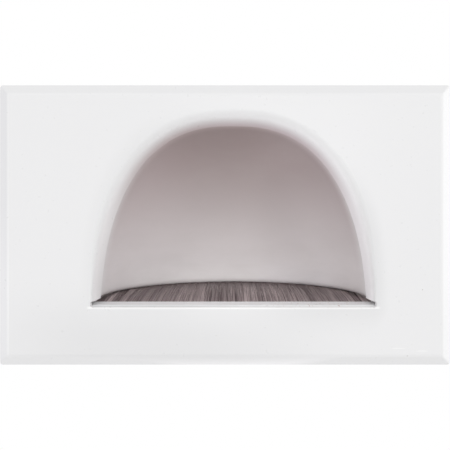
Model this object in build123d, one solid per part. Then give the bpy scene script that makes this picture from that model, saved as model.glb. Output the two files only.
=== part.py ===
from build123d import *
from math import atan2, cos, degrees, radians, sin, sqrt
import os

# Recessed cable entry plate for a wall: a clip-on cover, a base with a moulded scoop behind the
# window, and a strip brush that closes the scoop's open underside.
# Millimetres. The face looks along -Y and Z is up. The origin is the plate's centre on the wall.
# A depth is measured back from the flat front face.

# Cover plate
plate_width = 116.0
plate_height = 72.0
plate_depth = 7.5
cover_wall = 2.0
bevel_width = 3.0
bevel_drop = 1.1
corner_radius = 0.8

# Window, which stands a little to the right of the plate's centre
window_x = 2.13
sill_z = -19.62
crown_half_width = 36.5
crown_height = 49.5
crown_power = 2.4
lip_depth = 4.65
lip_turn = 65.0
lip_wall = 1.7

# Scoop behind the window: the throat's outline turned about an upright axis and flattened in depth
throat_half_width = 35.5
throat_height = 46.0
throat_power = 2.5
throat_taper = 0.097
scoop_depth = 26.4
scoop_wall = 2.0
rim_radius = 1.5
rim_steps = 3
rim_flange = 1.6

# Slot in the cover under the window, with the brush behind its front land
slot_height = 1.38
slot_land = 1.0
slot_corner = 0.6
slot_rounding = 0.45
holder_overhang = 0.9
holder_drop = 1.08
end_clearance = 0.15

# Strip brush
holder_depth = 4.4
holder_height = 2.4
holder_sheet = 0.4
holder_bend = 0.5
wire_diameter = 0.8
wire_clearance = 0.05
wire_end_gap = 0.4
pack_clearance = 0.05
tuft_count = 48
tuft_gap = 0.03
tuft_length = 30.0
tuft_tip_width = 1.1
tuft_tip_height = 2.3
tuft_rise = 0.75
tuft_root = 0.3
brush_end_gap = 0.3

# How much neighbouring tufts differ, and how far the waves that vary them turn from tuft to tuft
lean_amount = 0.2
lean_turn = 2.4
length_amount = 0.8
length_turn = 1.7
height_amount = 0.1
height_turn = 3.1

# Mounting base
skirt_clearance = 0.3
base_corner = 2.0
fixing_spacing = 84.0
fixing_width = 4.2
fixing_length = 7.0
head_width = 8.4
head_depth = 0.9
tray_wall = 1.5
tray_relief = 0.25
cover_clearance = 0.3
gusset_thickness = 1.6
gusset_reach = 18.0
gusset_spacing = 28.0
gusset_top = 32.6
gusset_foot_height = 14.5
side_gusset_reach = 11.0
side_gusset_width = 7.0
side_gusset_inset = 12.0
side_gusset_z = -12.0

# Snap fit between cover and base
snap_spacing = 60.0
snap_length = 12.0
snap_height = 1.0
snap_ledge = 1.4
snap_clearance = 0.3
post_width = 3.6
post_x = 49.5
post_z = 26.0
rib_thickness = 1.0
rib_height = 1.2
pry_width = 10.0
pry_depth = 1.0

# Numerical allowances: outline points, loft layers and overrun of cutting tools
arch_steps = 14
lip_layers = 4
overrun = 1.0

# Sizes that follow from the ones above
sill_angle = degrees(atan2(overrun, crown_half_width))
base_thickness = plate_depth - lip_depth
base_width = plate_width - 2 * (cover_wall + skirt_clearance)
base_height = plate_height - 2 * (cover_wall + skirt_clearance)
slot_z = sill_z - slot_height
holder_top = sill_z - holder_drop
holder_bottom = holder_top - holder_height
holder_half = crown_half_width + holder_overhang
holder_front = slot_land
holder_back = holder_front + holder_depth
tray_half = holder_half + end_clearance
flare = atan2(throat_taper * throat_half_width, throat_height)
rim_start_height = rim_radius * (1 - sin(flare))


def block(x_range, depth_range, z_range):
    """Box between two X, two depths behind the face and two Z."""
    low = Vector(x_range[0], depth_range[0] - plate_depth, z_range[0])
    size = Vector(x_range[1], depth_range[1] - plate_depth, z_range[1]) - low
    return Pos(low) * Box(size.X, size.Y, size.Z, align=(Align.MIN, Align.MIN, Align.MIN))


def plan_face(half_width, half_height, depth, radius):
    """Rounded rectangle of the plate's plan, upright at a depth."""
    plane = Plane.XZ.offset(plate_depth - depth)
    return plane * RectangleRounded(2 * half_width, 2 * half_height, radius)


def arch_point(angle, half_width, height, power, taper):
    """Point of an arch over the sill's centre: its distance across and its height above the sill."""
    across = abs(cos(radians(angle))) / half_width
    up = abs(sin(radians(angle))) / height
    reach = (across**power + up**power) ** (-1 / power)
    rise = reach * sin(radians(angle))
    return reach * cos(radians(angle)) * (1 - taper * rise / height), rise


def crown_point(angle, grow):
    """Point of the lip's outer edge, where it leaves the flat face."""
    return arch_point(angle, crown_half_width + grow, crown_height + grow, crown_power, 0)


def throat_point(angle, grow):
    """Point of the lip's inner edge, where the scoop starts."""
    return arch_point(angle, throat_half_width + grow, throat_height + grow, throat_power, throat_taper)


def arch_face(share, depth, grow):
    """Arch between the lip's outer edge (share 0) and inner edge (share 1), at a depth."""
    points = []
    for step in range(arch_steps + 1):
        angle = -sill_angle + (180 + 2 * sill_angle) * step / arch_steps
        outer = Vector(*crown_point(angle, grow))
        place = outer + (Vector(*throat_point(angle, grow)) - outer) * share
        points.append((window_x + place.X, depth - plate_depth, sill_z + place.Y))
    return Face(Wire([Spline(*points), Line(points[-1], points[0])]))


def above_sill(part):
    """Keep what stands above the sill."""
    reach = plate_width
    return part - block((-reach, reach), (-reach, reach), (sill_z - reach, sill_z))


def lip_section(turn):
    """Share of the lip's width and depth that a turn of the roll has covered."""
    share = sin(radians(turn)) / sin(radians(lip_turn))
    depth = lip_depth * (1 - cos(radians(turn))) / (1 - cos(radians(lip_turn)))
    return share, depth


def make_cover():
    """Hollow cover with a bevelled edge, a rolled lip round the arch and a slot below it."""
    half_w = plate_width / 2
    half_h = plate_height / 2
    sides = extrude(plan_face(half_w, half_h, plate_depth, corner_radius), plate_depth - bevel_drop)
    front = plan_face(half_w - bevel_width, half_h - bevel_width, 0, corner_radius / 2)
    shoulder = plan_face(half_w, half_h, bevel_drop, corner_radius)
    shell = sides + loft([shoulder, front], ruled=True)
    inner_w = half_w - cover_wall
    inner_h = half_h - cover_wall
    shell -= block((-inner_w, inner_w), (cover_wall, plate_depth + overrun), (-inner_h, inner_h))

    collar_start = cover_wall - slot_rounding
    start_turn = degrees(sqrt(collar_start / lip_depth)) * sqrt(2 * (1 - cos(radians(lip_turn))))
    start_share = lip_section(min(start_turn, lip_turn))[0]
    collar = loft(
        [arch_face(start_share, collar_start, lip_wall), arch_face(1, lip_depth, lip_wall)], ruled=True
    )
    shell += above_sill(collar)

    roll = [lip_section(lip_turn * layer / (lip_layers - 1)) for layer in range(lip_layers)]
    shell -= above_sill(loft([arch_face(share, depth, 0) for share, depth in roll]))

    slot = block(
        (window_x - crown_half_width, window_x + crown_half_width), (-overrun, slot_land), (slot_z, sill_z)
    )
    lower_corners = slot.edges().filter_by(Axis.Y).group_by(Axis.Z)[0]
    shell -= fillet(lower_corners, slot_corner)
    shell -= block(
        (window_x - tray_half, window_x + tray_half),
        (slot_land, lip_depth + overrun),
        (holder_bottom, sill_z),
    )
    shell -= slot_edge_cutter()

    for side in (-1, 1):
        for x in (-snap_spacing / 2, snap_spacing / 2):
            shell += snap_ridge(x, side, inner_h)
        for z in (-post_z, post_z):
            shell += block(
                (side * post_x - post_width / 2, side * post_x + post_width / 2),
                (cover_wall, lip_depth),
                (z - post_width / 2, z + post_width / 2),
            )
        rib_x = side * post_x
        shell += block(
            (rib_x - rib_thickness / 2, rib_x + rib_thickness / 2),
            (cover_wall, cover_wall + rib_height),
            (-inner_h, inner_h),
        )
    shell -= block(
        (-pry_width / 2, pry_width / 2),
        (plate_depth - pry_depth, plate_depth + overrun),
        (-half_h - overrun, -inner_h + overrun / 2),
    )
    return shell


def slot_edge_cutter():
    """Tool that rounds the slot's lower edge where it meets the face."""
    r = slot_rounding
    face_y = -plate_depth
    middle = (0, face_y + r * (1 - sqrt(0.5)), slot_z - r * (1 - sqrt(0.5)))
    edges = [
        Line((0, face_y, slot_z - r), (0, face_y - overrun, slot_z - r)),
        Line((0, face_y - overrun, slot_z - r), (0, face_y - overrun, slot_z + r)),
        Line((0, face_y - overrun, slot_z + r), (0, face_y + r, slot_z + r)),
        Line((0, face_y + r, slot_z + r), (0, face_y + r, slot_z)),
        ThreePointArc((0, face_y + r, slot_z), middle, (0, face_y, slot_z - r)),
    ]
    reach = crown_half_width - slot_corner
    return Pos(window_x, 0, 0) * extrude(Face(Wire(edges)), reach, dir=(1, 0, 0), both=True)


def snap_ridge(x, side, wall_z):
    """Ridge inside the skirt that hooks behind a ledge on the base's edge."""
    front = snap_ledge + lip_depth + snap_clearance / 2 - plate_depth
    back = -snap_clearance
    tip_z = wall_z - snap_height
    profile = Polyline(
        (0, front, wall_z),
        (0, front, tip_z),
        (0, front + (back - front) / 3, tip_z),
        (0, back, wall_z),
        close=True,
    )
    face = Face(Wire(profile.edges()))
    if side < 0:
        face = mirror(face, about=Plane.XY)
    return Pos(x, 0, 0) * extrude(face, snap_length / 2, dir=(1, 0, 0), both=True)


def dome(profile_edges, turn, flatten):
    """Turn a profile about the upright axis at the throat and flatten it in depth."""
    turned = revolve(Face(Wire(profile_edges)), axis=Axis.Z, revolution_arc=turn)
    return Pos(window_x, lip_depth - plate_depth, sill_z) * scale(turned, by=(1, flatten, 1))


def meridian(grow, lowest):
    """Half outline of the scoop, from its top down to a height above the sill."""
    points = [(0, 0, throat_height + grow)]
    last_angle = degrees(atan2(lowest, throat_half_width + grow))
    for step in range(1, arch_steps + 1):
        across, rise = throat_point(90 - (90 - last_angle) * step / arch_steps, grow)
        points.append((across, 0, rise))
    return Spline(*points, tangents=((1, 0, 0), (sin(flare), 0, -cos(flare))))


def rim_points(start):
    """Corners of the stepped round where the side turns out into the sill."""
    centre_x = start.X + rim_radius * cos(flare)
    centre_z = start.Z + rim_radius * sin(flare)
    points = []
    for step in range(1, rim_steps + 1):
        angle = flare + (radians(90) - flare) * step / rim_steps
        points.append((centre_x - rim_radius * cos(angle), 0, centre_z - rim_radius * sin(angle)))
    return points


def make_base():
    """Flat flange with a scoop behind the window, fixing slots and a tray for the brush."""
    below = -2 * overrun
    inside = meridian(0, rim_start_height)
    rim_start = inside @ 1
    rim = rim_points(rim_start)
    rim_x = rim[-1][0]
    flatten = scoop_depth / rim_x
    foot = Polyline(rim_start, *rim, (rim_x, 0, below), (0, 0, below), inside @ 0)
    cavity = dome([inside, *foot.edges()], 360, flatten)
    outside = meridian(scoop_wall, scoop_wall)
    neck = outside @ 1
    flange_x = rim_x + rim_flange
    collar = Polyline(neck, (flange_x, 0, neck.Z), (flange_x, 0, 0), (0, 0, 0), outside @ 0)
    wall_share = (flatten * rim_x + scoop_wall) / (rim_x + scoop_wall)
    skin = dome([outside, *collar.edges()], 180, wall_share)
    half_w = base_width / 2
    half_h = base_height / 2
    base = extrude(plan_face(half_w, half_h, plate_depth, base_corner), base_thickness)
    base += skin
    for side in (-1, 1):
        base += top_gusset(window_x + side * gusset_spacing / 2)
        base += side_gusset(side)
    tray_outer = tray_half + tray_wall
    tray_front = cover_wall + cover_clearance
    base += block(
        (window_x - tray_outer, window_x + tray_outer),
        (tray_front, lip_depth + overrun),
        (holder_bottom - tray_wall, holder_top),
    )
    base -= block(
        (window_x - tray_half, window_x + tray_half),
        (-overrun, plate_depth + overrun),
        (holder_bottom, sill_z + tray_relief),
    )
    base -= cavity
    for side in (-1, 1):
        place = Plane.XZ * Pos(side * fixing_spacing / 2, 0)
        base -= extrude(place * SlotOverall(fixing_length, fixing_width), plate_depth, both=True)
        head_length = fixing_length + head_width - fixing_width
        recess = Plane.XZ.offset(plate_depth - lip_depth - head_depth) * Pos(side * fixing_spacing / 2, 0)
        base -= extrude(recess * SlotOverall(head_length, head_width), overrun + head_depth)
        for x in (-snap_spacing / 2, snap_spacing / 2):
            base -= snap_pocket(x, side, half_h)
    return base


def snap_pocket(x, side, edge_z):
    """Pocket behind the ledge that a snap ridge hooks under."""
    depth = snap_height + skirt_clearance
    half = snap_length / 2 + snap_clearance * 2
    z_range = sorted((side * (edge_z + overrun), side * (edge_z - depth)))
    return block((x - half, x + half), (lip_depth + snap_ledge, plate_depth + overrun), z_range)


def top_gusset(x):
    """Upright web between the flange and the top of the dome."""
    profile = Polyline(
        (0, -base_thickness / 2, gusset_top),
        (0, 0, gusset_top),
        (0, gusset_reach, sill_z + gusset_foot_height),
        (0, -base_thickness / 2, sill_z + gusset_foot_height),
        close=True,
    )
    return Pos(x, 0, 0) * extrude(Face(Wire(profile.edges())), gusset_thickness / 2, dir=(1, 0, 0), both=True)


def side_gusset(side):
    """Level web between the flange and the side of the scoop."""
    root = window_x + side * (throat_half_width + scoop_wall)
    profile = Polyline(
        (root + side * side_gusset_width, -base_thickness / 2, 0),
        (root + side * side_gusset_width, 0, 0),
        (root - side * scoop_wall, side_gusset_reach, 0),
        (root - side * side_gusset_inset, -base_thickness / 2, 0),
        close=True,
    )
    face = Face(Wire(profile.edges()))
    return Pos(0, 0, side_gusset_z) * extrude(face, gusset_thickness / 2, dir=(0, 0, 1), both=True)


def make_holder():
    """Folded channel, closed to the front, whose mouth lets the filaments out to the rear."""
    x_range = (window_x - holder_half, window_x + holder_half)
    channel = block(x_range, (holder_front, holder_back), (holder_bottom, holder_top))
    bends = channel.edges().filter_by(Axis.X).group_by(Axis.Y)[0]
    channel = fillet(bends, holder_bend)
    inside = block(
        (x_range[0] - overrun, x_range[1] + overrun),
        (holder_front + holder_sheet, holder_back + overrun),
        (holder_bottom + holder_sheet, holder_top - holder_sheet),
    )
    return channel - inside


def wire_place():
    """Middle of the wire's left end, deep in the channel."""
    depth = holder_front + holder_sheet + wire_diameter
    return Vector(window_x, depth - plate_depth, (holder_top + holder_bottom) / 2)


def make_wire():
    """Wire that the filaments are folded round."""
    length = 2 * (holder_half - wire_end_gap)
    return Pos(wire_place()) * Rot(0, 90, 0) * Cylinder(wire_diameter / 2, length)


def tuft_section(x, depth, z, width, height):
    """Upright section of a tuft."""
    plane = Plane.XZ.offset(plate_depth - depth)
    return plane * Pos(x, z) * Rectangle(width, height)


def make_bristles():
    """Comb of tapered tufts on the pack of filaments that the channel grips."""
    middle_z = (holder_top + holder_bottom) / 2
    pack_height = holder_height - 2 * (holder_sheet + pack_clearance)
    half = holder_half - brush_end_gap
    pack = block(
        (window_x - half, window_x + half),
        (holder_front + holder_sheet + pack_clearance, holder_back),
        (middle_z - pack_height / 2, middle_z + pack_height / 2),
    )
    bore = Rot(0, 90, 0) * Cylinder(wire_diameter / 2 + wire_clearance, 2 * holder_half)
    pack -= Pos(wire_place()) * bore
    pitch = 2 * half / tuft_count
    tufts = []
    for index in range(tuft_count):
        x = window_x - half + (index + 0.5) * pitch
        tip_x = x + lean_amount * sin(lean_turn * index)
        tip_depth = holder_back + tuft_length + length_amount * sin(length_turn * index)
        tip_z = middle_z + tuft_rise + height_amount * sin(height_turn * index)
        root = tuft_section(x, holder_back - tuft_root, middle_z, pitch - tuft_gap, pack_height)
        tip = tuft_section(tip_x, tip_depth, tip_z, tuft_tip_width, tuft_tip_height)
        tufts.append(loft([root, tip], ruled=True))
    return pack + tufts


os.makedirs("parts", exist_ok=True)
export_step(make_cover(), "parts/cover.step")
export_step(make_base(), "parts/mounting_base.step")
export_step(make_holder(), "parts/brush_holder.step")
export_step(make_wire(), "parts/core_wire.step")
export_step(make_bristles(), "parts/bristles.step")
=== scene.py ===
import bmesh
import bpy
from math import radians
from mathutils import Matrix, Vector


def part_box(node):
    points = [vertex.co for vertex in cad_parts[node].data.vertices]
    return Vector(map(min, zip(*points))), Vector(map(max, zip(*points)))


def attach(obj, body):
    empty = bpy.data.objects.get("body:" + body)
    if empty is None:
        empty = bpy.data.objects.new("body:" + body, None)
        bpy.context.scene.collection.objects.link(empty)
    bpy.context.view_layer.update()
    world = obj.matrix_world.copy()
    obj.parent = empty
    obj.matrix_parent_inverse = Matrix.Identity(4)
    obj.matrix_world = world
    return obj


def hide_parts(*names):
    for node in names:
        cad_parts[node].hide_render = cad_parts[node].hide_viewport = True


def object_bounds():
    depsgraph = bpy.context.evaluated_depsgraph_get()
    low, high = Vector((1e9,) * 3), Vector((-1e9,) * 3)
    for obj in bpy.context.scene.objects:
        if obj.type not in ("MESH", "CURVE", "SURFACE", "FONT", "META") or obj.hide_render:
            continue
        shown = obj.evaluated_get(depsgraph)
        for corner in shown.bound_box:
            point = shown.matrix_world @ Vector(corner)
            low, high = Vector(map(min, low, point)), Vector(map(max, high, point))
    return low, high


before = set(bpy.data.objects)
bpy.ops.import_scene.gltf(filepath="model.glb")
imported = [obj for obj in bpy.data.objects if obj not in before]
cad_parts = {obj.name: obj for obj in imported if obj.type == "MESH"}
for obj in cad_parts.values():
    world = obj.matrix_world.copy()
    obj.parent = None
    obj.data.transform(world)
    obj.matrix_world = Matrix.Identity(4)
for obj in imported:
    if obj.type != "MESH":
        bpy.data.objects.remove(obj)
cad_low, cad_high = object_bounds()


# Studio. The plate was photographed close to, square on to its face, with a short lens from a
# little right of its middle. Soft lamps stand in front and at both sides, and a narrow one looks
# down into the recess. Floor and room are white to the camera and keep their colour for light.

millimetre = 0.001
face_y = cad_low.y
lens_distance = 92 * millimetre
lens_across = 2.24 * millimetre
lens_height = 1.02 * millimetre

camera_data = bpy.data.cameras.new("photo_camera")
camera = bpy.data.objects.new("photo_camera", camera_data)
bpy.context.scene.collection.objects.link(camera)
bpy.context.scene.camera = camera
camera.location = (lens_across, face_y - lens_distance, lens_height)
camera.rotation_euler = (radians(90), 0, 0)
camera_data.sensor_width = 36
camera_data.lens = 28.9
camera_data.shift_x = -0.0196
camera_data.shift_y = -0.0089
camera_data.clip_start = millimetre
camera_data.clip_end = 10

bpy.context.scene.view_settings.view_transform = "Standard"


class Value:
    """A node's output, whose arithmetic adds Math nodes to its tree."""

    def __init__(self, tree, socket):
        self.tree = tree
        self.socket = socket

    def output(self, name):
        """Another output of the same node."""
        return Value(self.tree, self.socket.node.outputs[name])

    def combine(self, operation, first, second=0.0):
        return self.tree.node("ShaderNodeMath", {"operation": operation}, {0: first, 1: second})

    def __add__(self, other):
        return self.combine("ADD", self, other)

    def __radd__(self, other):
        return self.combine("ADD", other, self)

    def __sub__(self, other):
        return self.combine("SUBTRACT", self, other)

    def __rsub__(self, other):
        return self.combine("SUBTRACT", other, self)

    def __mul__(self, other):
        return self.combine("MULTIPLY", self, other)

    def __rmul__(self, other):
        return self.combine("MULTIPLY", other, self)

    def __truediv__(self, other):
        return self.combine("DIVIDE", self, other)

    def __pow__(self, other):
        return self.combine("POWER", self, other)

    def at_least(self, other):
        return self.combine("MAXIMUM", self, other)

    def at_most(self, other):
        return self.combine("MINIMUM", self, other)

    def magnitude(self):
        return self.combine("ABSOLUTE", self)

    def sign(self):
        return self.combine("SIGN", self)

    def rounded(self):
        return self.combine("ROUND", self)

    def rising(self, low, high):
        """0 below one level and 1 above the other, with a smooth step between."""
        settings = {"interpolation_type": "SMOOTHSTEP"}
        inputs = {"Value": self, "From Min": low, "From Max": high}
        return self.tree.node("ShaderNodeMapRange", settings, inputs)

    def falling(self, low, high):
        """1 below one level and 0 above the other, with a smooth step between."""
        return 1 - self.rising(low, high)


class Tree:
    """A node tree with one method for adding any node."""

    def __init__(self, tree):
        self.tree = tree

    def node(self, kind, settings=None, inputs=None, output=0):
        made = self.tree.nodes.new(kind)
        for name, setting in (settings or {}).items():
            setattr(made, name, setting)
        for name, value in (inputs or {}).items():
            self.feed(made.inputs[name], value)
        return Value(self, made.outputs[output]) if made.outputs else None

    def feed(self, socket, value):
        if isinstance(value, Value):
            self.tree.links.new(value.socket, socket)
        else:
            socket.default_value = value

    def parts(self, vector):
        """The X, Y and Z of a vector."""
        split = self.node("ShaderNodeSeparateXYZ", {}, {"Vector": vector})
        return [split.output(axis) for axis in "XYZ"]

    def mixed(self, factor, first, second):
        """The first colour where the factor is 0 and the second where it is 1."""
        return self.node("ShaderNodeMix", {"data_type": "RGBA"}, {0: factor, 6: first, 7: second}, 2)

    def white_share(self):
        """1 on rays from the camera, a reflection or a see-through surface."""
        ray = self.node("ShaderNodeLightPath", {}, {}, "Is Camera Ray")
        return ray.at_least(ray.output("Is Glossy Ray") + ray.output("Is Transmission Ray"))


class Finish(Tree):
    """A material with one Principled shader."""

    def __init__(self, name, colour, roughness, metallic=0.0):
        self.material = bpy.data.materials.new(name)
        self.material.use_nodes = True
        super().__init__(self.material.node_tree)
        self.shader = self.tree.nodes["Principled BSDF"]
        self.place = self.node("ShaderNodeTexCoord", {}, {}, "Object")
        self.set("Base Color", colour)
        self.set("Roughness", roughness)
        self.set("Metallic", metallic)

    def set(self, name, value):
        self.feed(self.shader.inputs[name], value)

    def noise(self, scale, detail=2.0, roughness=0.5):
        """Cloudy pattern, whose scale is one number or one for each axis."""
        place = self.place
        if isinstance(scale, tuple):
            place = self.node("ShaderNodeMapping", {}, {"Vector": place, "Scale": scale})
            scale = 1
        inputs = {"Vector": place, "Scale": scale, "Detail": detail, "Roughness": roughness}
        return self.node("ShaderNodeTexNoise", {}, inputs, "Fac")

    def bump(self, height, distance, strength):
        inputs = {"Height": height, "Distance": distance, "Strength": strength}
        self.set("Normal", self.node("ShaderNodeBump", {}, inputs))


def linear(red, green, blue):
    """Colour from the 0 to 255 values that a screen shows."""
    values = []
    for level in (red, green, blue):
        share = level / 255
        values.append(share / 12.92 if share <= 0.04045 else ((share + 0.055) / 1.055) ** 2.4)
    return (*values, 1.0)


def grey(level):
    return linear(level, level, level)


white_ground = (1, 1, 1, 1)
world = bpy.data.worlds.new("pale_room")
bpy.context.scene.world = world
world.use_nodes = True
room = Tree(world.node_tree)
room_colour = room.mixed(room.white_share(), linear(248, 248, 249), white_ground)
room.feed(room.tree.nodes["Background"].inputs["Color"], room_colour)

warm_white = (1.0, 0.99, 0.985)
lilac_white = (0.98, 0.94, 1.0)
cool_white = (0.99, 0.98, 1.0)


def lamp(name, kind, place, aim, energy, tint):
    """A lamp turned towards a point. Returns its settings."""
    data = bpy.data.lights.new(name, kind)
    data.energy = energy
    data.color = tint
    made = bpy.data.objects.new(name, data)
    bpy.context.scene.collection.objects.link(made)
    made.location = place
    made.rotation_euler = (Vector(aim) - Vector(place)).to_track_quat("-Z", "Y").to_euler()
    return data


def softbox(name, place, aim, side, energy, tint):
    """A square lamp that glows all over."""
    lamp(name, "AREA", place, aim, energy, tint).size = side


softbox("front_softbox", (0.05, -0.34, 0.06), (0, 0, 0.01), 0.2, 0.12, warm_white)
softbox("left_card", (-0.7, -0.3, 0.02), (0, 0, 0), 0.4, 0.09, lilac_white)
softbox("low_card", (-0.6, -0.3, -0.13), (0.02, 0, 0.01), 0.2, 0.3, cool_white)
softbox("side_softbox", (0.8, -0.3, 0.08), (0, 0, 0), 0.5, 0.6, warm_white)
recess_spot = lamp("recess_spot", "SPOT", (0.002, -0.34, 0.19), (0.002, 0.022, -0.020), 0.85, (1, 1, 1))
recess_spot.spot_size = radians(7)
recess_spot.spot_blend = 1.0
recess_spot.shadow_soft_size = 8 * millimetre

floor_drop = 0.25
floor_half_width = 3
floor_mesh = bpy.data.meshes.new("floor")
floor_shape = bmesh.new()
bmesh.ops.create_grid(floor_shape, x_segments=2, y_segments=2, size=floor_half_width)
floor_shape.to_mesh(floor_mesh)
floor_shape.free()
floor = bpy.data.objects.new("floor", floor_mesh)
bpy.context.scene.collection.objects.link(floor)
floor.location = (0, 0, -floor_drop)
floor_finish = Finish("pale_floor", grey(229), 0.8)
floor_plain = Value(floor_finish, floor_finish.shader.outputs[0])
floor_glow = floor_finish.node("ShaderNodeEmission", {}, {"Color": white_ground})
floor_shares = {0: floor_finish.white_share(), 1: floor_plain, 2: floor_glow}
floor_mix = floor_finish.node("ShaderNodeMixShader", {}, floor_shares)
floor_finish.feed(floor_finish.tree.nodes["Material Output"].inputs["Surface"], floor_mix)
floor_mesh.materials.append(floor_finish.material)


# Cover. The visible plate: a thin shell moulded in glossy white plastic, with a bevelled edge
# and a rolled lip round the arch. It clips over the base with four ridges inside its skirt, and
# the slot below the arch shows the brush.

flat_angle = radians(0.02)
weld_distance = 0.002 * millimetre


def flat_areas(shape):
    """Area of the flat region that each face of a mesh belongs to."""
    areas = {}
    for first in shape.faces:
        if first in areas:
            continue
        region = {first}
        edge_faces = [first]
        while edge_faces:
            face = edge_faces.pop()
            for edge in face.edges:
                for beside in edge.link_faces:
                    if beside not in region and beside.normal.angle(first.normal, 0) < flat_angle:
                        region.add(beside)
                        edge_faces.append(beside)
        area = sum(face.calc_area() for face in region)
        areas.update((face, area) for face in region)
    return areas


def shading_normals(shape, smooth_angle):
    """Normal at each face's corners, where large flat faces count most and sharp edges stay sharp."""
    areas = flat_areas(shape)
    normals = []
    for face in shape.faces:
        for loop in face.loops:
            total = Vector()
            for beside in loop.vert.link_faces:
                if beside.normal.angle(face.normal, 0) < smooth_angle:
                    total += beside.normal * areas[beside]
            normals.append(total.normalized())
    return normals


def dressed(node, name, finish, smooth_degrees=15):
    """Copy of a CAD node with its triangles joined, its curves shaded smooth and a finish on it."""
    shape = bmesh.new()
    shape.from_mesh(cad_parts[node].data)
    bmesh.ops.remove_doubles(shape, verts=shape.verts, dist=weld_distance)
    shape.normal_update()
    for face in shape.faces:
        face.smooth = True
    normals = shading_normals(shape, radians(smooth_degrees))
    mesh = bpy.data.meshes.new(name)
    shape.to_mesh(mesh)
    shape.free()
    mesh.normals_split_custom_set(normals)
    mesh.materials.append(finish.material)
    made = bpy.data.objects.new(name, mesh)
    bpy.context.scene.collection.objects.link(made)
    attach(made, "root")
    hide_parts(node)
    return made


def arch_share(from_middle, from_sill, half_width, height, power):
    """1 on an arch of this size, less inside it and more outside."""
    return ((from_middle / half_width) ** power + (from_sill / height) ** power) ** (1 / power)


window_x = 2.13 * millimetre
sill_z = -19.62 * millimetre
slot_height = 1.38 * millimetre
slot_half_length = 37.2 * millimetre
lip_half_width = 36.5 * millimetre
lip_height = 49.5 * millimetre
lip_power = 2.4

cover_white = Finish("cover_gloss_white", grey(236), 0.28)
across, inward, up = cover_white.parts(cover_white.place)
behind_face = inward - face_y
from_middle = (across - window_x).magnitude()
from_sill = (up - sill_z).at_least((sill_z - up) * 3)
from_lip = arch_share(from_middle, from_sill, lip_half_width, lip_height, lip_power)
beside_arch = from_lip.falling(0.99, 1.1)
to_right = across.rising(-0.030, 0.030)
to_crown = up.rising(-0.002, 0.024)

# Painted shade: the face is darker below the slot, on all bevels but the right one and in a ring by the
# arch, and painted light makes the right bevel paler.
painted_shade_below_slot = up.falling(-0.030, -0.012) * (across + 0.018).magnitude().falling(0.012, 0.055)
face_colour = cover_white.mixed(painted_shade_below_slot * 0.8, grey(235), grey(225))
mitre = cad_high.x - cad_high.z
half_blend = 0.5 * millimetre
right_bevel = (across - up.magnitude()).rising(mitre - half_blend, mitre + half_blend)
left_bevel = (across + up.magnitude()).falling(-mitre - half_blend, -mitre + half_blend)
# Painted light on the right bevel, and painted shade on the left, top and bottom bevels.
bevel_painted_light_and_shade = cover_white.mixed(right_bevel, grey(230), grey(246))
bevel_painted_light_and_shade = cover_white.mixed(left_bevel, bevel_painted_light_and_shade, linear(225, 225, 226))
on_bevel = behind_face.rising(0.1 * millimetre, 0.4 * millimetre) * (1 - beside_arch)
face_colour = cover_white.mixed(on_bevel, face_colour, bevel_painted_light_and_shade)
# Painted shade in a ring on the face beside the lower arch, darker towards the right.
painted_ring_mask = (up + across * 0.35).falling(0.012, 0.030) * (up - sill_z).rising(-0.010, 0.002)
painted_ring_shade = cover_white.mixed(to_right, grey(231), grey(226))
face_colour = cover_white.mixed(beside_arch * painted_ring_mask, face_colour, painted_ring_shade)

# Painted light makes the lip paler than the face, most on its right side.
on_lip = behind_face.rising(0.15 * millimetre, 1.6 * millimetre) * beside_arch
lip_left_painted_light = cover_white.mixed(to_crown, linear(246, 245, 245), linear(239, 238, 238))
lip_painted_light = cover_white.mixed(to_right, lip_left_painted_light, linear(252, 251, 252))
lip_colour = cover_white.mixed(on_lip, face_colour, lip_painted_light)
# Painted shade turns the lip warm grey at its crown, where it meets the scoop; lower down, painted light
# keeps it paler than the face.
near_throat = behind_face.rising(1.0 * millimetre, 4.9 * millimetre) * beside_arch
throat_low_painted_light = cover_white.mixed(to_right, linear(246, 245, 245), linear(252, 250, 252))
throat_crown_painted_shade = cover_white.mixed(to_right, linear(203, 190, 189), linear(216, 204, 207))
throat_painted_light_and_shade = cover_white.mixed(to_crown, throat_low_painted_light, throat_crown_painted_shade)
cover_colour = cover_white.mixed(near_throat, lip_colour, throat_painted_light_and_shade)

# A painted highlight makes the slot's lower edge bright.
above_slot_edge = up - (sill_z - slot_height)
slot_edge_highlight = above_slot_edge.rising(-0.5 * millimetre, -0.25 * millimetre)
slot_edge_highlight = slot_edge_highlight * above_slot_edge.falling(0.1 * millimetre, 0.3 * millimetre)
slot_edge_highlight = slot_edge_highlight * (from_middle - slot_half_length).falling(-0.4 * millimetre, 0.4 * millimetre)
cover_colour = cover_white.mixed(slot_edge_highlight * 0.7, cover_colour, linear(253, 253, 252))

# Specks and scuffs on the face: middle across and up, half width and half height, in millimetres.
speck_marks = ((-27.8, 5.1, 0.17, 0.17), (50.3, -16.5, 0.15, 0.15), (46.5, -33.4, 0.2, 0.12))
scuff_marks = ((50.2, -32.1, 1.6, 0.1), (44.2, -31.4, 1.9, 0.08))
front_only = behind_face.falling(1.2 * millimetre, 1.6 * millimetre)
for marks, mark_colour, mark_strength in (
    (speck_marks, linear(176, 168, 162), 0.6),
    (scuff_marks, linear(250, 250, 249), 0.8),
):
    for mark_x, mark_z, half_wide, half_tall in marks:
        aside = (across - mark_x * millimetre) / (half_wide * millimetre)
        above = (up - mark_z * millimetre) / (half_tall * millimetre)
        mark = (aside * aside + above * above).falling(0.3, 1.4) * front_only
        cover_colour = cover_white.mixed(mark * mark_strength, cover_colour, mark_colour)
cover_white.set("Base Color", cover_colour)

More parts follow.
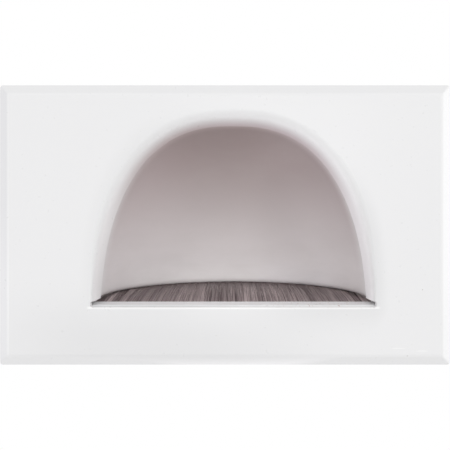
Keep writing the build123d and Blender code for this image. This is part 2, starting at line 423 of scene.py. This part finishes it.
grain_depth = 0.02 * millimetre
skin_grain = cover_white.noise(900, 3)
cover_white.set("Roughness", 0.25 + skin_grain * 0.08)
cover_white.bump(skin_grain, grain_depth, 0.1)
cover = dressed("cover", "cover_plate", cover_white)


# Mounting base. Screwed to the wall behind the cover and moulded in the same plastic: a flat
# flange whose window opens into a scoop, with a tray under it that holds the brush.

lip_depth = 4.65 * millimetre
scoop_depth = 26.4 * millimetre
scoop_half_width = 36.9 * millimetre
throat_half_width = 35.5 * millimetre
throat_height = 46 * millimetre
throat_power = 2.5
throat_taper = 0.097

base_white = Finish("base_gloss_white", linear(220, 212, 212), 0.42)
base_across, base_inward, base_up = base_white.parts(base_white.place)
base_aside = (base_across - window_x).magnitude()
base_right = base_across.rising(0.003, 0.022)

# Painted shade inside the scoop: it goes from pale at its lower rim to warm grey at its crown, a little
# paler at the sides.
beside = base_aside.rising(0.010, 0.032)
crown_painted_shade = base_white.mixed(beside, linear(177, 162, 161), linear(189, 174, 174))
recess_painted_light_and_shade = base_white.mixed(base_up.rising(-0.026, 0.0255), linear(239, 235, 235), crown_painted_shade)
# Painted light near the middle of the scoop's lower rim.
painted_light_by_rim = base_up.falling(-0.022, -0.010) * base_aside.falling(0.027, 0.034)
rim_painted_light = base_white.mixed(base_right, linear(252, 249, 248), linear(248, 244, 246))
recess_painted_light_and_shade = base_white.mixed(painted_light_by_rim, recess_painted_light_and_shade, rim_painted_light)
# Painted light on the right of the scoop's crown.
right_crown_painted_light = base_right * base_up.rising(0.012, 0.022)
recess_painted_light_and_shade = base_white.mixed(right_crown_painted_light * 0.6, recess_painted_light_and_shade, linear(199, 185, 185))
# Painted shade on the right of the scoop, above its lower part.
right_shade = base_right * base_up.rising(-0.017, -0.004)
recess_painted_light_and_shade = base_white.mixed(right_shade * 0.12, recess_painted_light_and_shade, linear(118, 106, 110))
# Painted shade just behind the lip, darker towards the crown, where it meets the lip's painted shade.
front_crown_painted_shade = base_white.mixed(base_right, linear(206, 192, 191), linear(222, 209, 211))
front_painted_shade = base_white.mixed(base_up.rising(-0.002, 0.028), linear(236, 234, 234), front_crown_painted_shade)
behind_lip = (base_inward - face_y).rising(3.6 * millimetre, 8.6 * millimetre)
scoop_colour = base_white.mixed(behind_lip, front_painted_shade, recess_painted_light_and_shade)

# Outside the scoop's wall, on its back and on the flange, the plastic is plain white.
scoop_inward = (base_inward - face_y - lip_depth) * (scoop_half_width / scoop_depth)
from_axis = (base_aside * base_aside + scoop_inward * scoop_inward) ** 0.5
above_sill = (base_up - sill_z).at_least(0.0)
taper = 1 - above_sill * (throat_taper / throat_height)
from_wall = arch_share(from_axis / taper, above_sill, throat_half_width, throat_height, throat_power)
scoop_colour = base_white.mixed(from_wall.rising(1.02, 1.04), scoop_colour, linear(234, 233, 233))
mottle = base_white.noise((90, 90, 260), 3, 0.6)
scoop_colour = base_white.mixed((mottle - 0.4) * 0.35, scoop_colour, linear(196, 190, 186))
base_white.set("Base Color", scoop_colour)
base_white.bump(base_white.noise(700, 3), grain_depth, 0.3)
base = dressed("mounting_base", "scoop_base", base_white, 32)


# Brush holder. A strip of aluminium folded into a channel that grips the filaments, glued into
# the tray. Its top shows in the slot, with smears of clear glue along it.

holder_low, holder_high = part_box("brush_holder")
holder_metal = Finish("holder_aluminium", linear(250, 251, 252), 0.4, 0.2)
holder_across, holder_inward = holder_metal.parts(holder_metal.place)[:2]
brushed = holder_metal.noise((30, 900, 900), 4)
smear = holder_metal.noise((420, 2600, 900), 4, 0.65)
smeared = holder_across.rising(-0.006, 0.022)
glue = smear.rising(0.5, 0.66) * (0.25 + smeared * 0.75)
holder_colour = holder_metal.mixed(glue * 0.8, linear(249, 251, 252), linear(254, 254, 252))
# Painted shade darkens the channel's front face in the slot, less towards the right where the glue
# smears are.
on_front = (holder_inward - holder_low.y).falling(0.05 * millimetre, 0.25 * millimetre)
channel_front_painted_shade = holder_metal.mixed(smeared, linear(206, 208, 208), linear(226, 227, 226))
holder_colour = holder_metal.mixed(on_front, holder_colour, channel_front_painted_shade)
dots = holder_metal.noise(1500, 2).rising(0.62, 0.7) * smeared
holder_colour = holder_metal.mixed(dots * 0.7, holder_colour, linear(196, 172, 170))
holder_metal.set("Base Color", holder_colour)
holder_metal.set("Roughness", 0.34 + brushed * 0.16 + glue * 0.1)
holder_metal.set("Metallic", 0.2 - glue * 0.2)
holder_metal.bump(brushed + glue * 1.5, 0.03 * millimetre, 0.5)
holder = dressed("brush_holder", "brush_channel", holder_metal)


# Core wire. Round steel wire that the filaments are folded over inside the channel, pinched
# there when the strip is closed.

wire_steel = Finish("core_wire_steel", linear(150, 150, 152), 0.35, 1.0)
wire_steel.bump(wire_steel.noise((60, 2500, 2500), 3), grain_depth, 0.4)
wire = dressed("core_wire", "strip_core_wire", wire_steel)


# Bristles. Several thousand fine nylon filaments, folded over the wire and gripped by the
# channel. They stand straight back across the scoop's open underside and fan out a little.

brush_low, brush_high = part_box("bristles")
brush_middle_x = (brush_low.x + brush_high.x) / 2
brush_middle_z = (holder_low.z + holder_high.z) / 2
mouth_y = holder_high.y
grip_depth = 1.2 * millimetre
ceiling_gap = 0.06 * millimetre
ragged_ends = 0.6 * millimetre
filament_inputs = {
    "Count": 6200,
    "Length": brush_high.y - mouth_y + grip_depth,
    "Thickness": 0.21 * millimetre,
    "Row Width": holder_high.x - holder_low.x - 0.2 * millimetre,
    "Row Height": 1.4 * millimetre,
    "Fan": 0.9,
    "Side Fan": 0.03,
    "End Width": 5.0 * millimetre,
    "End Splay": 0.7,
    "Rise": 2.2 * millimetre,
    "Ceiling": sill_z - ceiling_gap - brush_middle_z,
    "Bundle Width": 1.9 * millimetre,
    "Bundle Pull": 0.8,
    "Bundle Lift": 0.5 * millimetre,
    "Stray": 0.45 * millimetre,
    "Crossing": 3.0 * millimetre,
}

# Each filament has its own tone. Painted shadow darkens them just before they pass the scoop's rim, and
# painted light makes them paler past it.
bristle_nylon = Finish("bristle_nylon", linear(150, 136, 137), 0.5)
strand_tone = bristle_nylon.node("ShaderNodeAttribute", {"attribute_name": "strand"}, {}, "Fac")
bundle_shade = bristle_nylon.node("ShaderNodeAttribute", {"attribute_name": "bundle"}, {}, "Fac")
tone = strand_tone * 0.6 + bundle_shade * 0.4
bristle_colour = bristle_nylon.mixed(tone, linear(94, 79, 80), linear(214, 199, 199))
brush_across, brush_inward = bristle_nylon.parts(bristle_nylon.place)[:2]
rim_across = (brush_across - brush_middle_x) / scoop_half_width
rim_inward = (brush_inward - face_y - lip_depth) / scoop_depth
to_rim = rim_across * rim_across + rim_inward * rim_inward
rim_aside = rim_across.magnitude()
rim_painted_shadow = to_rim.rising(0.2, 0.9) * to_rim.falling(0.9, 1.02) * rim_aside.falling(0.65, 0.9)
past_rim_painted_light = to_rim.rising(0.94, 1.04) * rim_aside.falling(0.6, 0.9)
bristle_colour = bristle_nylon.mixed(rim_painted_shadow * 0.7, bristle_colour, linear(112, 97, 98))
bristle_colour = bristle_nylon.mixed(past_rim_painted_light * 0.9, bristle_colour, linear(240, 222, 221))
bristle_nylon.set("Base Color", bristle_colour)

filament_group = bpy.data.node_groups.new("brush_filaments", "GeometryNodeTree")
filament_group.interface.new_socket("Geometry", in_out="OUTPUT", socket_type="NodeSocketGeometry")
identifiers = {}
for name in filament_inputs:
    kind = "NodeSocketInt" if name == "Count" else "NodeSocketFloat"
    made_socket = filament_group.interface.new_socket(name, in_out="INPUT", socket_type=kind)
    identifiers[name] = made_socket.identifier
brush_tree = Tree(filament_group)
given = brush_tree.node("NodeGroupInput")
size = {name: given.output(name) for name in filament_inputs}


def vector(x, y, z):
    return brush_tree.node("ShaderNodeCombineXYZ", {}, {"X": x, "Y": y, "Z": z})


def position():
    return brush_tree.node("GeometryNodeInputPosition")


def kept(geometry, name, value, kind):
    """Stores a value on each point, to be read after the points have moved."""
    settings = {"data_type": kind, "domain": "POINT"}
    inputs = {"Geometry": geometry, "Name": name, "Value": value}
    return brush_tree.node("GeometryNodeStoreNamedAttribute", settings, inputs)


def recalled(name, kind):
    return brush_tree.node("GeometryNodeInputNamedAttribute", {"data_type": kind}, {"Name": name})


def chance(low, high, seed):
    """Random vector for each filament."""
    inputs = {0: low, 1: high, "Seed": seed}
    return brush_tree.node("FunctionNodeRandomValue", {"data_type": "FLOAT_VECTOR"}, inputs)


# One filament is a thin three-sided cone, laid down so that it points into the wall.
filament_shape = {
    "Vertices": 3,
    "Side Segments": 5,
    "Radius Top": size["Thickness"] * 0.3,
    "Radius Bottom": size["Thickness"] * 0.5,
    "Depth": size["Length"],
}
cone = brush_tree.node("GeometryNodeMeshCone", {"fill_type": "NGON"}, filament_shape)
laid = {"Geometry": cone, "Rotation": (radians(-90), 0, 0)}
lying = brush_tree.node("GeometryNodeTransform", {}, laid)
lying = kept(lying, "along", brush_tree.parts(position())[1] / size["Length"], "FLOAT")

# The roots are scattered over the channel's mouth, and each has its own tone, lean and turn.
half_row = size["Row Width"] * 0.5
half_height = size["Row Height"] * 0.5
spread_x, spread_y, spread_z = brush_tree.parts(chance((-1, 0, -1), (1, 1, 1), 11))
root_place = vector(spread_x * half_row, 0.0, spread_z * half_height)
roots = brush_tree.node("GeometryNodePoints", {}, {"Count": size["Count"], "Position": root_place})
roots = kept(roots, "root", position(), "FLOAT_VECTOR")
roots = kept(roots, "strand", spread_y, "FLOAT")
roots = kept(roots, "lean", chance((-1, -1, -1), (1, 1, 1), 23), "FLOAT_VECTOR")
turned = chance((0, 0, 0), (0, 6.28, 0), 31)
planting = {"Points": roots, "Instance": lying, "Rotation": turned}
planted = brush_tree.node("GeometryNodeInstanceOnPoints", {}, planting)
planted = brush_tree.node("GeometryNodeRealizeInstances", {}, {"Geometry": planted})

# Filaments draw together in bundles, and a few cross their neighbours.
along = recalled("along", "FLOAT")
root_x, root_z = brush_tree.parts(recalled("root", "FLOAT_VECTOR"))[::2]
lean_x, lean_y, lean_z = brush_tree.parts(recalled("lean", "FLOAT_VECTOR"))
bend = along * along
uneven = brush_tree.node("ShaderNodeTexNoise", {"noise_dimensions": "1D"}, {"W": root_x, "Scale": 330.0})
warped_x = root_x + (uneven - 0.5) * size["Bundle Width"] * 2.5
bundle = (warped_x / size["Bundle Width"]).rounded()
bundle_tone = brush_tree.node("ShaderNodeTexWhiteNoise", {"noise_dimensions": "1D"}, {"W": bundle})
upper = root_z / size["Row Height"] + 0.5
pull = (bundle * size["Bundle Width"] - warped_x) * size["Bundle Pull"] * upper
rare = lean_x * lean_x * lean_x
crossing = rare * rare * rare * size["Crossing"]
straight = bend * (pull + lean_x * size["Stray"] + crossing)

# Those at the two ends splay outwards, and all rise to just under the sill.
end_share = (root_x.magnitude() - half_row + size["End Width"]).at_least(0.0)
splay = (along - 0.08).at_least(0.0) * end_share * root_x.sign() * size["End Splay"]
shift_x = straight + along * root_x * size["Side Fan"] + splay
shift_y = along * lean_y * ragged_ends
early = 1 - (1 - along) * (1 - along)
lifted = early * size["Rise"] + along * root_z * size["Fan"]
lifted = lifted + bend * (bundle_tone - 0.5) * size["Bundle Lift"]
ceiling = size["Ceiling"] - size["Thickness"] * 0.5 - lean_z.magnitude() * size["Bundle Lift"] * 0.5
axis_z = (root_z + lifted + bend * lean_z * size["Stray"] * 0.4).at_most(ceiling)
place_x, place_y, place_z = brush_tree.parts(position())
bent_place = vector(place_x + shift_x, place_y + shift_y, place_z - root_z + axis_z)
bent = brush_tree.node("GeometryNodeSetPosition", {}, {"Geometry": planted, "Position": bent_place})
bent = kept(bent, "bundle", bundle_tone, "FLOAT")
bent = brush_tree.node("GeometryNodeSetShadeSmooth", {}, {"Geometry": bent})
painting = {"Geometry": bent, "Material": bristle_nylon.material}
painted = brush_tree.node("GeometryNodeSetMaterial", {}, painting)
brush_tree.node("NodeGroupOutput", {}, {"Geometry": painted})

seed_object = bpy.data.objects.new("filament_seed", bpy.data.meshes.new("filament_seed"))
bpy.context.scene.collection.objects.link(seed_object)
grower = seed_object.modifiers.new("filaments", "NODES")
grower.node_group = filament_group
for name, value in filament_inputs.items():
    grower[identifiers[name]] = value
grown = bpy.data.meshes.new_from_object(seed_object.evaluated_get(bpy.context.evaluated_depsgraph_get()))
bpy.data.objects.remove(seed_object)
grown.transform(Matrix.Translation((brush_middle_x, mouth_y - grip_depth, brush_middle_z)))
bristles = bpy.data.objects.new("bristle_filaments", grown)
bpy.context.scene.collection.objects.link(bristles)
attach(bristles, "root")
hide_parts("bristles")
